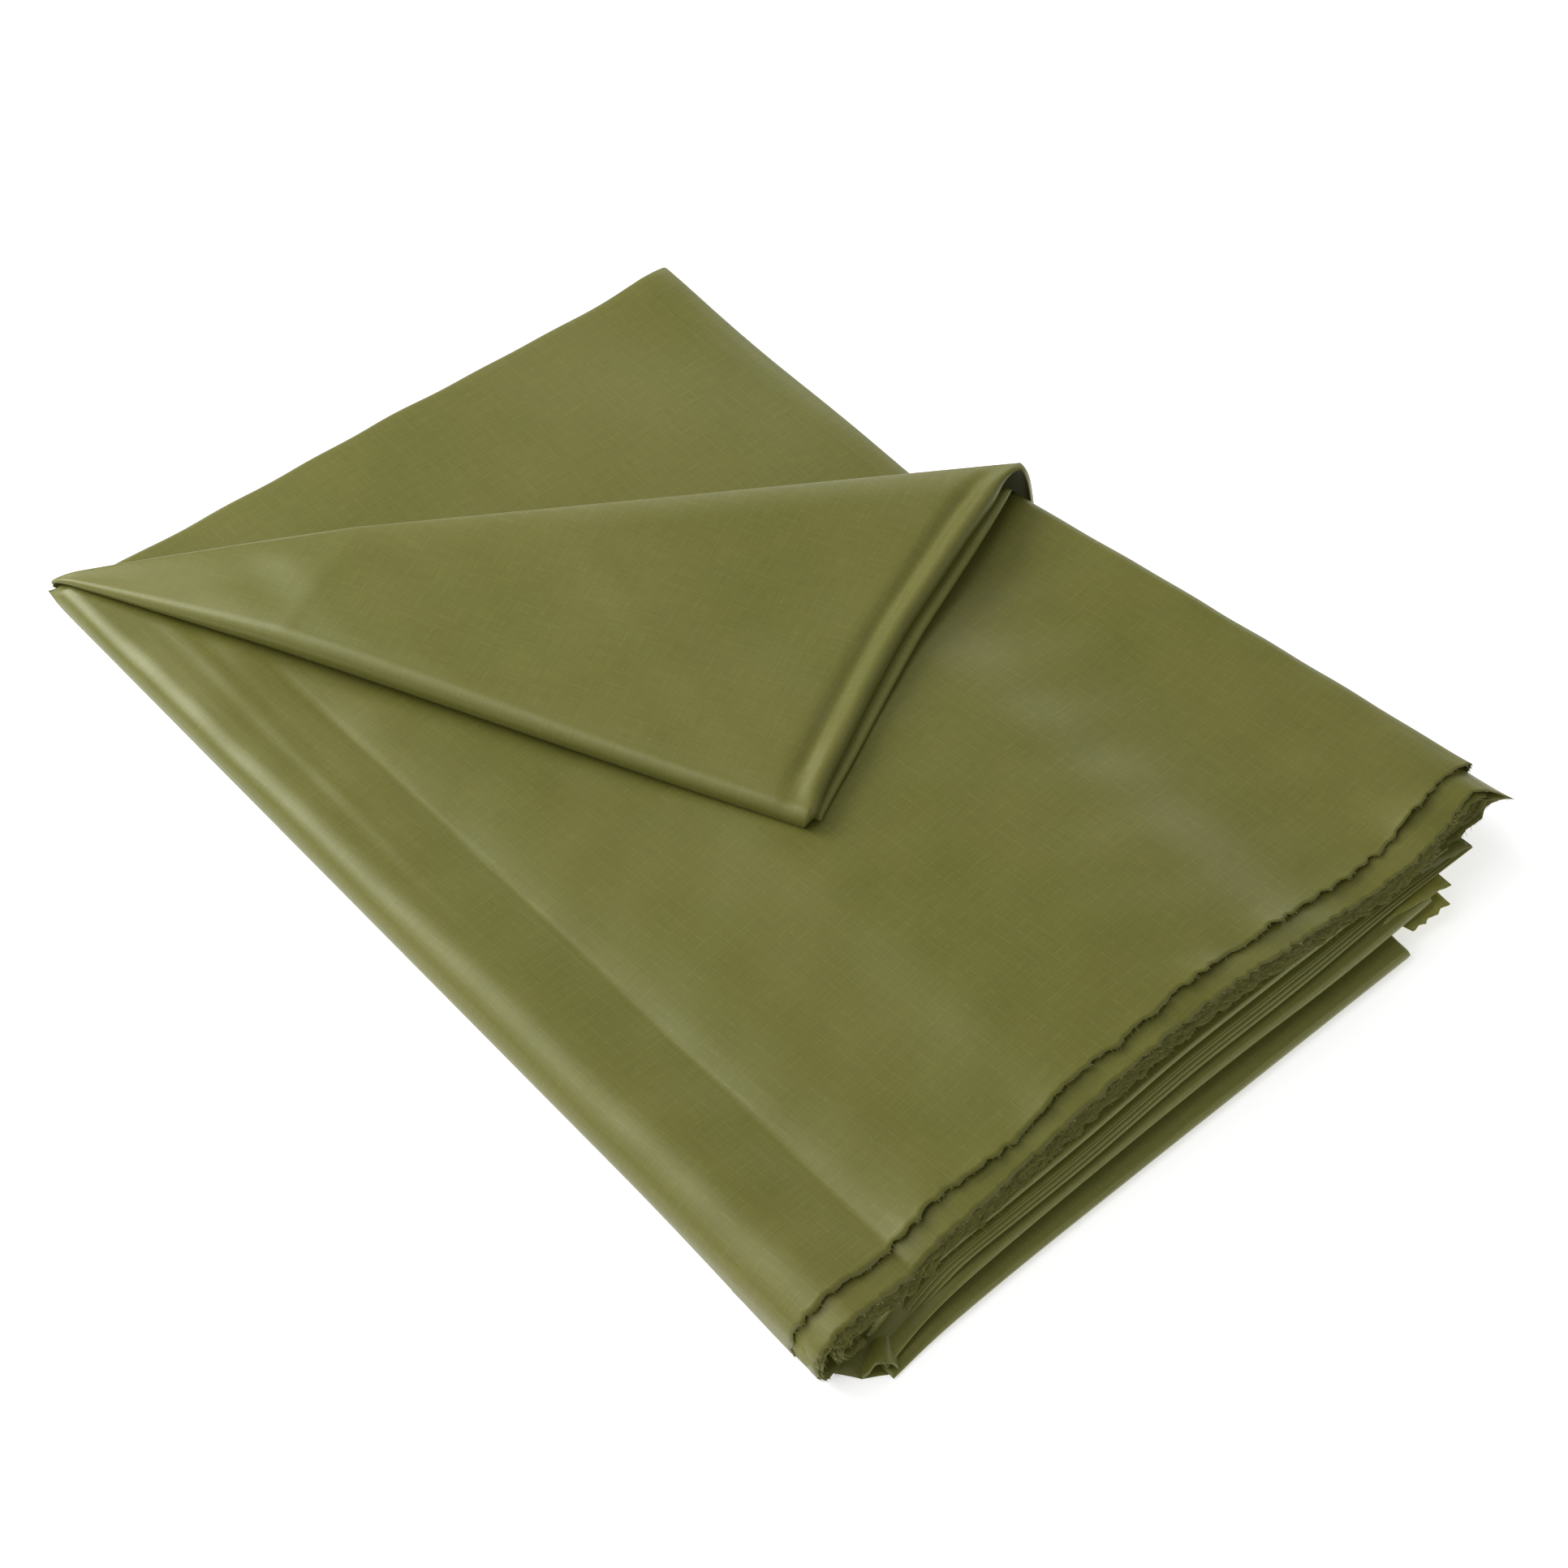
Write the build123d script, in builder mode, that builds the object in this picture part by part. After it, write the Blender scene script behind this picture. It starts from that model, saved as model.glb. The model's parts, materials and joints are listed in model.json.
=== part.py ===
"""Folded ripstop bivy sack: a stack of folded plies with one corner turned back.

The pack lies flat. X runs along the folded spine, towards the open end. The spine
is at -Y and +Z is up. The origin is the middle of the footprint, at floor level.
Three bodies move on two living hinges: the upper packet lifts along the spine, and
the turned-back corner swings about its diagonal fold.
"""
from build123d import *
from math import hypot, sqrt
import os

# ---------------------------------------------------------------- footprint
pack_length = 403.0          # far end to the nose of the bottom fold
pack_width = 288.0           # spine to the outermost ply corner
far_x = -pack_length / 2
spine_y = -pack_width / 2
back_y = pack_width / 2

# ---------------------------------------------------------------- fold diagonal
tip = Vector(far_x, spine_y + 2)           # where the diagonal fold meets the spine
apex = Vector(-6, 120)                     # where it meets the back edge
flap_corner = Vector(54.5, -24)            # the turned-back corner itself
lower_far_corner = Vector(-184.5, 115)     # the corner left bare below it

# ---------------------------------------------------------------- open end
outer_ply_x = 177.0
second_ply_x = 187.0
lip_x = (183.0, 185.0)                     # lower and upper raw lips of the mouth
nested_fold_x = (191.0, 189.5, 188.0)      # bottom one first
second_fold_x = 195.5
bottom_fold_x = far_x + pack_length

outer_back_y = 140.0
second_back_y = 141.0
lip_back_y = 134.0
nested_back_y = 128.0
second_fold_back_y = 106.0
bottom_fold_back_y = 91.0
roll_length = 28.0                         # of the mouth's end rolls, along the spine
roll_bore_share = 0.55                     # of an end roll's radius
corner_cut_x = 7.0                         # of the second ply, where its corner folds in
corner_cut_y = 11.0
corner_reach = 5.0                         # of that folded corner, past the raw edge
pocket_from_spine = 3.0                    # the folded pocket at the near corner
pocket_depth = 7.5
pocket_height = 8.0

# ---------------------------------------------------------------- heights
# Each level is a pair: its height at the tip of the diagonal, and at the apex.
body_gap = 0.3
ply_gap = 0.1
ground = (0.0, 0.0)
bottom_fold_top = (4.2, 7.5)
lower_packet_top = (6.5, 13.0)
upper_packet_top = (12.0, 29.0)
wrap_thickness = 1.1                       # of the two plies that wrap the whole pack
wrap_pitch = 1.3                           # from one wrapped ply to the next
nested_share = 0.62                        # of the upper packet inside the wrapped plies
cover_share = 0.12                         # of the lower packet's upper half
flap_tip_thickness = 1.5
flap_thickness = 12.0
flap_taper_length = 110.0
flap_lining_thickness = 1.0
stack_height = 60.0                        # taller than the whole pack, for blanks

spine_depth = (5.0, 11.0)                  # of the spine's rounding, far end and open end
wrap_start = 6.0                           # the rounding begins this far from the far end
inner_clearance = 0.4                      # of the stack inside the wrapped plies
second_wrap_inset = 1.6 * wrap_pitch       # of the second ply's rounding
raw_corner_thickness = 1.2
nested_corner_share = 0.55                 # of the way up the nested folds

# The turned-back corner's pieces begin and end at these shares of its two sides.
leaf_start = 0.03
leaf_end = 0.93
leaf_nose = 0.915
roll_share = 0.027                         # width of the roll along its long edge


def level(heights):
    """A plane through the diagonal fold at these heights, level across the diagonal."""
    run = apex - tip
    along = Vector(run.X, run.Y, heights[1] - heights[0])
    across = Vector(-run.Y, run.X, 0)
    return Plane(
        origin=(tip.X, tip.Y, heights[0]), x_dir=along, z_dir=along.cross(across)
    )


def height_at(heights, x, y):
    """Height of a level above the floor at one place."""
    run = apex - tip
    span = hypot(run.X, run.Y)
    reach = ((x - tip.X) * run.X + (y - tip.Y) * run.Y) / span ** 2
    return heights[0] + (heights[1] - heights[0]) * reach


def between(low, high, share):
    """A level part of the way up from one level to another."""
    return tuple(a + (b - a) * share for a, b in zip(low, high))


def raised(heights, amount):
    """The same level, lifted by an amount."""
    return tuple(height + amount for height in heights)


def spine_reach(x):
    """Depth of the spine's rounding at one station along it."""
    share = (x - far_x) / pack_length
    return spine_depth[0] + (spine_depth[1] - spine_depth[0]) * share


def layer(outline, low, high):
    """A flat layer of plies with this outline, from one level up to another."""
    with BuildPart() as slab:
        with BuildSketch():
            with BuildLine():
                Polyline(*outline, close=True)
            make_face()
        extrude(amount=stack_height)
        split(bisect_by=level(high), keep=Keep.BOTTOM)
        split(bisect_by=level(low), keep=Keep.TOP)
    return slab.part


def wrap_section(x, heights, inset, upper):
    """The spine's rounding at one station: a quarter turn, above or below mid-height."""
    crest = height_at(heights, x, spine_y + spine_reach(x))
    middle = height_at(upper_packet_top, x, spine_y + spine_reach(x)) / 2
    side = 1 if upper else -1
    turn_y = spine_y + spine_reach(x)
    edge_y = spine_y + inset
    hinge_z = middle + side * body_gap / 2
    shoulder = sqrt(0.5)

    def corner(depth, rise):
        """Halfway point of an elliptic quarter turn."""
        return (turn_y - depth * shoulder, middle + side * rise * shoulder)

    inner_crest = crest - side * wrap_thickness
    with BuildSketch(Plane.YZ.offset(x)) as section:
        with BuildLine():
            ThreePointArc(
                (edge_y, hinge_z),
                corner(turn_y - edge_y, abs(crest - middle)),
                (turn_y, crest),
            )
            Line((turn_y, crest), (turn_y, inner_crest))
            ThreePointArc(
                (turn_y, inner_crest),
                corner(turn_y - edge_y - wrap_thickness, abs(inner_crest - middle)),
                (edge_y + wrap_thickness, hinge_z),
            )
            Line((edge_y + wrap_thickness, hinge_z), (edge_y, hinge_z))
        make_face()
    return section.sketch


def spine_wrap(end_x, heights, inset, upper):
    """A ply's quarter turn round the spine, from the far end to the open end."""
    with BuildPart() as wrap:
        loft(
            sections=[
                wrap_section(far_x + wrap_start, heights, inset, upper),
                wrap_section(end_x, heights, inset, upper),
            ],
            ruled=True,
        )
    return wrap.part


def spine_line(end_x, inset=0.0):
    """Where the flat of the pack begins, beside the spine's rounding."""
    start_x = far_x + wrap_start
    return [
        (start_x, spine_y + spine_reach(start_x) + inset),
        (end_x, spine_y + spine_reach(end_x) + inset),
    ]


def upper_outline(end_x, end_back_y, apex_back_y, inset=inner_clearance):
    """Outline of an upper layer: spine side, open end, back edge, diagonal fold."""
    return spine_line(end_x, inset) + [
        (end_x, end_back_y),
        (apex.X + 4, apex_back_y),
        (apex.X, apex.Y),
    ]


def lower_outline(end_x, end_back_y, inset=inner_clearance):
    """Outline of a lower layer: spine side, open end, back edge, far corner."""
    return spine_line(end_x, inset) + [
        (end_x, end_back_y),
        (0, lower_far_corner.Y),
        (lower_far_corner.X, lower_far_corner.Y),
        (far_x, spine_y + spine_reach(far_x) + inset),
    ]


def on_flap(share_to_apex, share_to_corner):
    """A point of the turned-back corner, measured from its tip along its two sides."""
    place = tip + (apex - tip) * share_to_apex + (flap_corner - tip) * share_to_corner
    return (place.X, place.Y)


def flap_layer(outline, low, high):
    """A layer of the turned-back corner, thinned towards its tip."""
    with BuildPart() as leaf:
        add(layer(outline, low, high))
        split(bisect_by=level(flap_taper), keep=Keep.BOTTOM)
    return leaf.part


def half_roll(centre_y, centre_z, radius, end_x, side):
    """A ply edge turning back on itself: a half tube that opens along X."""
    with BuildPart() as roll:
        with BuildSketch(Plane.YZ.offset(end_x - roll_length)):
            with Locations((centre_y, centre_z)):
                Circle(radius)
                Circle(radius * roll_bore_share, mode=Mode.SUBTRACT)
            with Locations((centre_y - side * radius, centre_z)):
                Rectangle(2 * radius, 2 * radius, mode=Mode.SUBTRACT)
        extrude(amount=roll_length)
    return roll.part


def nose_folds(builder, direction=Axis.X):
    """The long edges of a layer's folded end, where its plies turn over."""
    end_face = builder.faces().sort_by(direction)[-1]
    return end_face.edges().filter_by(lambda edge: edge.length > pack_width / 3)


def nose_radius(builder, direction=Axis.X, share=0.42):
    """Radius that leaves a little flat between the two rounded edges of a nose."""
    end_face = builder.faces().sort_by(direction)[-1]
    return min(edge.length for edge in end_face.edges()) * share


def finish(builder, name):
    """Name a finished piece and write it out."""
    builder.part.label = name
    export_step(builder.part, f"parts/{name}.step")


os.makedirs("parts", exist_ok=True)

# ---------------------------------------------------------------- lower packet
base_outer_top = raised(ground, wrap_thickness)
base_inner_bottom = raised(ground, wrap_pitch)
base_inner_top = raised(base_inner_bottom, wrap_thickness)
second_fold_bottom = raised(bottom_fold_top, ply_gap)
cover_bottom = between(lower_packet_top, bottom_fold_top, cover_share)

with BuildPart() as base_outer_ply:
    add(layer(lower_outline(outer_ply_x, lower_far_corner.Y, 0), ground, base_outer_top))
    add(spine_wrap(outer_ply_x, ground, 0, upper=False))
finish(base_outer_ply, "base_outer_ply")

with BuildPart() as base_inner_ply:
    add(
        layer(
            lower_outline(second_ply_x, lower_far_corner.Y, 0),
            base_inner_bottom,
            base_inner_top,
        )
    )
    add(spine_wrap(second_ply_x, base_inner_bottom, second_wrap_inset, upper=False))
finish(base_inner_ply, "base_inner_ply")

with BuildPart() as bottom_fold:
    add(
        layer(
            lower_outline(bottom_fold_x, bottom_fold_back_y),
            raised(base_inner_top, ply_gap),
            bottom_fold_top,
        )
    )
    fillet(nose_folds(bottom_fold), nose_radius(bottom_fold))
finish(bottom_fold, "bottom_fold")

with BuildPart() as second_fold:
    add(
        layer(
            lower_outline(second_fold_x, second_fold_back_y),
            second_fold_bottom,
            raised(cover_bottom, -ply_gap),
        )
    )
    fillet(nose_folds(second_fold), nose_radius(second_fold))
finish(second_fold, "second_fold")

with BuildPart() as cover_ply:
    add(
        layer(
            lower_outline(outer_ply_x, second_fold_back_y),
            cover_bottom,
            lower_packet_top,
        )
    )
finish(cover_ply, "cover_ply")

with BuildPart() as near_corner_pocket:
    with BuildSketch(Plane.XZ.offset(-spine_y - pocket_from_spine)):
        with BuildLine():
            Polyline(
                (second_ply_x + 0.5, 0),
                (bottom_fold_x - 2, 0),
                (second_fold_x - 3, pocket_height),
                close=True,
            )
        make_face()
    extrude(amount=-pocket_depth)
finish(near_corner_pocket, "near_corner_pocket")

# The raw corners stick out past the back corners of the folds, at these levels.
raw_corners = {
    "second_fold_raw_corner": (
        [
            (second_fold_x - 55.5, second_fold_back_y + 3.5),
            (second_fold_x - 4.5, second_fold_back_y + 1),
            (second_fold_x + 2.5, second_fold_back_y + 7),
            (second_fold_x - 19.5, second_fold_back_y + 12),
        ],
        (7.0, 10.2),
    ),
    "bottom_fold_raw_corner": (
        [
            (bottom_fold_x - 51.5, bottom_fold_back_y + 10.5),
            (bottom_fold_x - 12.5, bottom_fold_back_y + 2),
            (bottom_fold_x - 2, bottom_fold_back_y + 15),
            (bottom_fold_x - 17.5, bottom_fold_back_y + 19),
        ],
        (3.4, 5.2),
    ),
}
for corner_name, (outline, bottom) in raw_corners.items():
    with BuildPart() as raw_corner:
        add(layer(outline, bottom, raised(bottom, raw_corner_thickness)))
    finish(raw_corner, corner_name)

# ---------------------------------------------------------------- upper packet
upper_packet_bottom = raised(lower_packet_top, body_gap)
second_top = raised(upper_packet_top, -wrap_pitch)
second_bottom = raised(second_top, -wrap_thickness)
lip_top = raised(second_bottom, -ply_gap)
lip_bottom = between(upper_packet_bottom, lip_top, nested_share)
lip_middle = between(lip_bottom, lip_top, 0.5)

nested_names = ("nested_fold_lower", "nested_fold_middle", "nested_fold_upper")
for index, (name, end_x) in enumerate(zip(nested_names, nested_fold_x)):
    low = between(upper_packet_bottom, lip_bottom, index / 3)
    high = between(upper_packet_bottom, lip_bottom, (index + 1) / 3)
    with BuildPart() as nested_fold:
        add(
            layer(
                upper_outline(end_x, nested_back_y, nested_back_y),
                low,
                raised(high, -ply_gap),
            )
        )
        fillet(nose_folds(nested_fold), nose_radius(nested_fold))
    finish(nested_fold, name)

nested_corner_bottom = between(upper_packet_bottom, lip_bottom, nested_corner_share)
with BuildPart() as nested_raw_corner:
    add(
        layer(
            [
                (nested_fold_x[2] - 38, nested_back_y + ply_gap),
                (nested_fold_x[2], nested_back_y + ply_gap),
                (nested_fold_x[2] + 5, nested_back_y + 3),
                (nested_fold_x[2] - 12, nested_back_y + 9),
            ],
            nested_corner_bottom,
            raised(nested_corner_bottom, raw_corner_thickness),
        )
    )
finish(nested_raw_corner, "nested_raw_corner")

lip_levels = ((lip_bottom, lip_middle), (lip_middle, lip_top))
for name, end_x, (low, high) in zip(("mouth_lower_lip", "mouth_upper_lip"), lip_x, lip_levels):
    with BuildPart() as lip:
        add(
            layer(
                upper_outline(end_x, lip_back_y, lip_back_y - 2),
                low,
                raised(high, -ply_gap),
            )
        )
    finish(lip, name)

near_roll_y = spine_y + spine_reach(lip_x[0] - roll_length) + inner_clearance - ply_gap
far_roll_y = lip_back_y + ply_gap
for name, roll_y, side in (
    ("mouth_near_roll", near_roll_y, -1),
    ("mouth_far_roll", far_roll_y, 1),
):
    low = height_at(lip_bottom, lip_x[0], roll_y)
    high = height_at(lip_top, lip_x[0] - roll_length, roll_y)
    with BuildPart() as mouth_roll:
        add(half_roll(roll_y, (low + high) / 2, (high - low) / 2 - ply_gap, lip_x[0], side))
    finish(mouth_roll, name)

with BuildPart() as second_ply:
    add(
        layer(
            spine_line(second_ply_x)
            + [
                (second_ply_x, second_back_y - corner_cut_y),
                (second_ply_x - corner_cut_x, second_back_y),
                (apex.X + 4, lip_back_y),
                (apex.X, apex.Y),
            ],
            second_bottom,
            second_top,
        )
    )
    add(spine_wrap(second_ply_x, second_top, second_wrap_inset, upper=True))
finish(second_ply, "second_ply")

with BuildPart() as second_ply_corner:
    add(
        layer(
            [
                (second_ply_x + ply_gap, second_back_y - corner_cut_y + ply_gap),
                (second_ply_x + corner_reach, back_y),
                (second_ply_x - corner_cut_x + 2 * ply_gap, second_back_y + ply_gap),
            ],
            second_bottom,
            second_top,
        )
    )
finish(second_ply_corner, "second_ply_corner")

with BuildPart() as outer_ply:
    add(
        layer(
            spine_line(outer_ply_x)
            + [(outer_ply_x, outer_back_y), (apex.X, apex.Y)],
            raised(upper_packet_top, -wrap_thickness),
            upper_packet_top,
        )
    )
    add(spine_wrap(outer_ply_x, upper_packet_top, 0, upper=True))
finish(outer_ply, "outer_ply")

# ---------------------------------------------------------------- turned-back corner
flap_bottom = raised(upper_packet_top, body_gap)
lining_top = raised(flap_bottom, flap_lining_thickness)
flap_top = raised(upper_packet_top, flap_thickness)
flap_cover_bottom = raised(flap_top, -flap_lining_thickness)
leaf_middle = between(lining_top, flap_cover_bottom, 0.5)
diagonal_length = (apex - tip).length
taper_slope = (
    flap_thickness
    - flap_tip_thickness
    + (upper_packet_top[1] - upper_packet_top[0]) * flap_taper_length / diagonal_length
) / flap_taper_length
flap_taper = (
    upper_packet_top[0] + flap_tip_thickness,
    upper_packet_top[0] + flap_tip_thickness + taper_slope * diagonal_length,
)

with BuildPart() as flap_lining:
    add(flap_layer([on_flap(0.02, 0), on_flap(1, 0), on_flap(0, 0.98)], flap_bottom, lining_top))
finish(flap_lining, "flap_lining")

flap_fold = flap_corner - apex
flap_outward = Axis((0, 0, 0), (-flap_fold.Y, flap_fold.X, 0))

leaf_outline = [
    on_flap(leaf_start, 0.01),
    on_flap(0.995, 0.005),
    on_flap(0.07, leaf_nose),
    on_flap(leaf_start, leaf_end),
]
with BuildPart() as flap_lower_leaf:
    add(flap_layer(leaf_outline, raised(lining_top, ply_gap), raised(leaf_middle, -ply_gap)))
    fillet(nose_folds(flap_lower_leaf, flap_outward), nose_radius(flap_lower_leaf, flap_outward))
finish(flap_lower_leaf, "flap_lower_leaf")

with BuildPart() as flap_upper_leaf:
    add(flap_layer(leaf_outline, leaf_middle, raised(flap_cover_bottom, -ply_gap)))
    fillet(nose_folds(flap_upper_leaf, flap_outward), nose_radius(flap_upper_leaf, flap_outward))
finish(flap_upper_leaf, "flap_upper_leaf")

with BuildPart() as flap_cover:
    add(
        layer(
            [
                on_flap(0.36, 0),
                on_flap(0.985, 0.005),
                on_flap(0.06, leaf_nose),
                on_flap(leaf_start, 0.5),
            ],
            flap_cover_bottom,
            flap_top,
        )
    )
finish(flap_cover, "flap_cover")

with BuildPart() as flap_edge_roll:
    add(
        flap_layer(
            [
                on_flap(0, 0.04),
                on_flap(roll_share, 0.04),
                on_flap(roll_share, leaf_end),
                on_flap(0, leaf_end),
            ],
            raised(lining_top, ply_gap),
            flap_top,
        )
    )
finish(flap_edge_roll, "flap_edge_roll")

with BuildPart() as flap_corner_pocket:
    add(
        flap_layer(
            [
                on_flap(0, leaf_end + 0.005),
                on_flap(0.06, leaf_end),
                on_flap(0.02, 0.975),
                on_flap(0, 0.99),
            ],
            raised(lining_top, ply_gap),
            flap_top,
        )
    )
finish(flap_corner_pocket, "flap_corner_pocket")
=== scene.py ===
# Looks of the folded ripstop bivy sack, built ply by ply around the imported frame.
#
# Lengths are millimetres until a mesh is made. X runs along the spine towards the
# open end, the spine is at -Y and +Z is up. Each ply is a grid of points, row by row
# from the spine to the back edge, with its own flat cloth coordinates for the weave.
import json
from math import cos, pi, radians, sin, sqrt

import bmesh
import bpy
import numpy as np
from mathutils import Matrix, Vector


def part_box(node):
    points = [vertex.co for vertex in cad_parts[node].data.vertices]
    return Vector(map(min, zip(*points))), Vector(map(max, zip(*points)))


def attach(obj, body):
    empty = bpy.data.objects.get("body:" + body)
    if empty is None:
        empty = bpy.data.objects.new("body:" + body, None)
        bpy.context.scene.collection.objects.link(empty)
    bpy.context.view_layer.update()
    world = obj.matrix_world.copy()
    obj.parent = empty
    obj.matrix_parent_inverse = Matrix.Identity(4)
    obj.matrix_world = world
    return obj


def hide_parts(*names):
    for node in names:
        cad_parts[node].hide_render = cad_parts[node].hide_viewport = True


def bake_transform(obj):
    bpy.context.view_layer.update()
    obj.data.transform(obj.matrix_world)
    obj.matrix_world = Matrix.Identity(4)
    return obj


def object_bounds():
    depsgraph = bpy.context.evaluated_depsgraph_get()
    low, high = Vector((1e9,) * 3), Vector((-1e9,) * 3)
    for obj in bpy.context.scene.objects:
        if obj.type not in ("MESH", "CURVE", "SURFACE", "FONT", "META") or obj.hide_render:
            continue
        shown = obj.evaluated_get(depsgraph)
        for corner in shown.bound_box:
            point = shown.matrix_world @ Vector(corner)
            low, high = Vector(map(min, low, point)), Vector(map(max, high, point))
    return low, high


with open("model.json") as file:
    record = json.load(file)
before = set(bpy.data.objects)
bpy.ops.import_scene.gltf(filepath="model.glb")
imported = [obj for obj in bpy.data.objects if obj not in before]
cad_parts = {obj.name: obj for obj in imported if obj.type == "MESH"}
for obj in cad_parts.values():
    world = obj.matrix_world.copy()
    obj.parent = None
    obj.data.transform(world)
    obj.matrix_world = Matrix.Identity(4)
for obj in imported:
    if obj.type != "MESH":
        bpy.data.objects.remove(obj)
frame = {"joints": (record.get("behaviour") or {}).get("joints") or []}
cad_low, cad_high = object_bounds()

MM = 0.001
CLOTH_MAP = "cloth"

# ---- the frame's places
joints = {joint["name"]: joint for joint in frame["joints"]}


def high_of(node, axis):
    """The highest coordinate of a CAD node along one axis, in millimetres."""
    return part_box(node)[1][axis] / MM


far_x = cad_low.x / MM
spine_y = cad_low.y / MM
open_x = cad_high.x / MM
pack_length = open_x - far_x
outer_x = high_of("outer_ply", 0)
second_fold_x = high_of("second_fold", 0)
nested_x = [high_of(f"nested_fold_{place}", 0) for place in ("upper", "middle", "lower")]
outer_back = high_of("outer_ply", 1)
second_back = high_of("second_ply", 1)
nested_back = high_of("nested_fold_upper", 1)
second_fold_back = 106.0  # at the open end; both are longer at the far end
bottom_fold_back = 91.0
lower_back = high_of("base_outer_ply", 1)
tip = np.array(joints["corner_fold"]["pos_m"]) / MM
fold_axis = -np.array(joints["corner_fold"]["axis"])
apex = tip + fold_axis * (high_of("flap_lining", 1) - tip[1]) / fold_axis[1]
flap_corner = np.array((56.8, -28.5))  # the turned-back corner's free tip, in plan
far_corner = np.array((-184.5, lower_back))

# Each level is its height at the tip of the diagonal fold and at its apex.
BOTTOM_FOLD_TOP = (4.2, 7.5)
LOWER_TOP = (6.5, 13.0)
UPPER_TOP = (12.0, 29.0)
PLY = 0.25  # thickness of the cloth
BACK_WAY = (-0.105, 0.994)  # straight out of the back edge
WRAP_PITCH = 1.4  # from the outer ply to the second
CAP_REACH = 10.0  # over which the pack's far end is rounded off
LOOP_RADIUS = 8.6  # of the second ply's back edge, at the open end
EDGE_START = -144.0  # y of the spine's outermost line, where a raw edge's curve begins
NOSE_START = -126.0  # y at which the folded leaves begin inside the spine
FLAP_WEAVE = -24.0  # degrees that the flap's weave is turned from the pack's
SPINE_BLEND = ("lower_packet", "upper_packet", (0, spine_y * MM, 0.0050), (0, spine_y * MM, 0.0135))

# The grid of a wrapping ply, and the run of its cloth from where the flat top begins.
WRAP_COLUMNS = 150  # along the spine
UNDER_ROWS = 25
TURN_ROWS = 16  # in each half of the spine's turn, with the row that it shares
TOP_ROWS = 170
BACK_ROWS = 14
BACK_TURN = 0.94 * pi  # how far the back edge turns under
UNDER_RUN = 260.0
TURN_RUN = 13.0  # for each radian
TURN_END_RUN = 40.0  # where the underside begins
TOP_RUN = 262.0

# The raw plies of the mouth.
MOUTH_PLIES = 8
LOOP_PLIES = 4  # of them, those that turn round in the loop at the back
MOUTH_DEPTH = 36.0  # of a raw ply, from its edge into the pack
MOUTH_STEP = 1.9  # cloth from one of its rows to the next


# ---- small mathematics
def curve_through(*points):
    """A smooth function through (place, value) points, level beyond its ends."""
    places, values = np.array(points, float).T
    slopes = np.gradient(values, places)

    def value(place):
        place = np.clip(place, places[0], places[-1])
        left = np.clip(np.searchsorted(places, place) - 1, 0, len(places) - 2)
        gap = places[left + 1] - places[left]
        share = (place - places[left]) / gap
        return (
            values[left] * (1 + 2 * share) * (1 - share) ** 2
            + slopes[left] * gap * share * (1 - share) ** 2
            + values[left + 1] * share ** 2 * (3 - 2 * share)
            + slopes[left + 1] * gap * share ** 2 * (share - 1)
        )

    return value


def ease(value, start, end):
    """0 before start, 1 after end, and smooth between them."""
    share = np.clip((value - start) / (end - start), 0, 1)
    return share * share * (3 - 2 * share)


def ripple(x, y, length, seed, direction=None, spread=pi):
    """A random soft undulation about one high, with wavelengths near one length."""
    random = np.random.default_rng(seed)
    middle = 0.0 if direction is None else radians(direction)
    total = np.zeros(np.broadcast(x, y).shape)
    count = 7
    for _ in range(count):
        angle = middle + random.uniform(-spread, spread) / 2
        wavelength = length * random.uniform(0.65, 1.6)
        phase = random.uniform(0, 2 * pi)
        across = x * cos(angle) + y * sin(angle)
        total += np.sin(across * 2 * pi / wavelength + phase)
    return total / sqrt(count)


def ripple_along(run, length, seed):
    """A ripple of one line, by the run along it."""
    return ripple(run, run * 0, length, seed, 0, 0.1)


def level(heights, x, y):
    """Height of a level, which is a plane through the diagonal fold."""
    run = apex[:2] - tip[:2]
    reach = ((x - tip[0]) * run[0] + (y - tip[1]) * run[1]) / (run @ run)
    return heights[0] + (heights[1] - heights[0]) * reach


def mix(start, end, share):
    return start + (end - start) * share


def unit(vector):
    return vector / np.linalg.norm(vector)


def bell(value, middle, width):
    """1 at the middle, falling off smoothly on both sides."""
    return np.exp(-(((value - middle) / width) ** 2))


def rounding(share):
    """Height of a quarter circle over a share of its radius."""
    return np.sqrt(1 - (1 - share) ** 2)


def capped(height, middle, distance, least):
    """Heights drawn towards a middle height near an end, to round it off."""
    share = np.clip(distance / CAP_REACH, 0, 1)
    return middle + (height - middle) * mix(least, 1.0, rounding(share))


# ---- the pack's form
# Heights of the outer ply at its raw edge, from the spine's crest to the back edge.
end_profile = curve_through(
    (-126, 24.3), (-117, 23.3), (-108, 22.3), (-98, 24.0), (-86, 25.6), (-70, 26.6),
    (-52, 28.6), (-36, 31.4), (-10, 33.4), (22, 34.8), (45, 33.6), (70, 30.2),
    (95, 30.4), (114, 34.2), (130, 36.6), (140, 35.8),
)
outer_edge = curve_through(
    (-144, 177), (-137, 177), (-126, 177.3), (-108, 177.4), (-98, 176.2), (-84, 175.6),
    (-70, 177), (-52, 177), (-38, 175.2), (-12, 175.8), (18, 175.2), (42, 176.6),
    (66, 177.2), (84, 178.6), (98, 178.8), (114, 176.8), (130, 175.6), (140, 176.8),
)
second_edge = curve_through(
    (-144, 187), (-132, 187), (-118, 187.4), (-106, 186.6), (-94, 185.2), (-80, 185.4),
    (-66, 184.6), (-48, 184.0), (-26, 183.6), (8, 183.4), (30, 184.2), (50, 185.6),
    (66, 185.8), (84, 187.2), (104, 188.4), (116, 187.6), (126, 185.2), (136, 185.0),
)


def spine_reach(x):
    """How far the spine's rounding reaches into the pack."""
    return mix(7.0, 18.0, np.clip((x - far_x) / pack_length, 0, 1))


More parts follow.
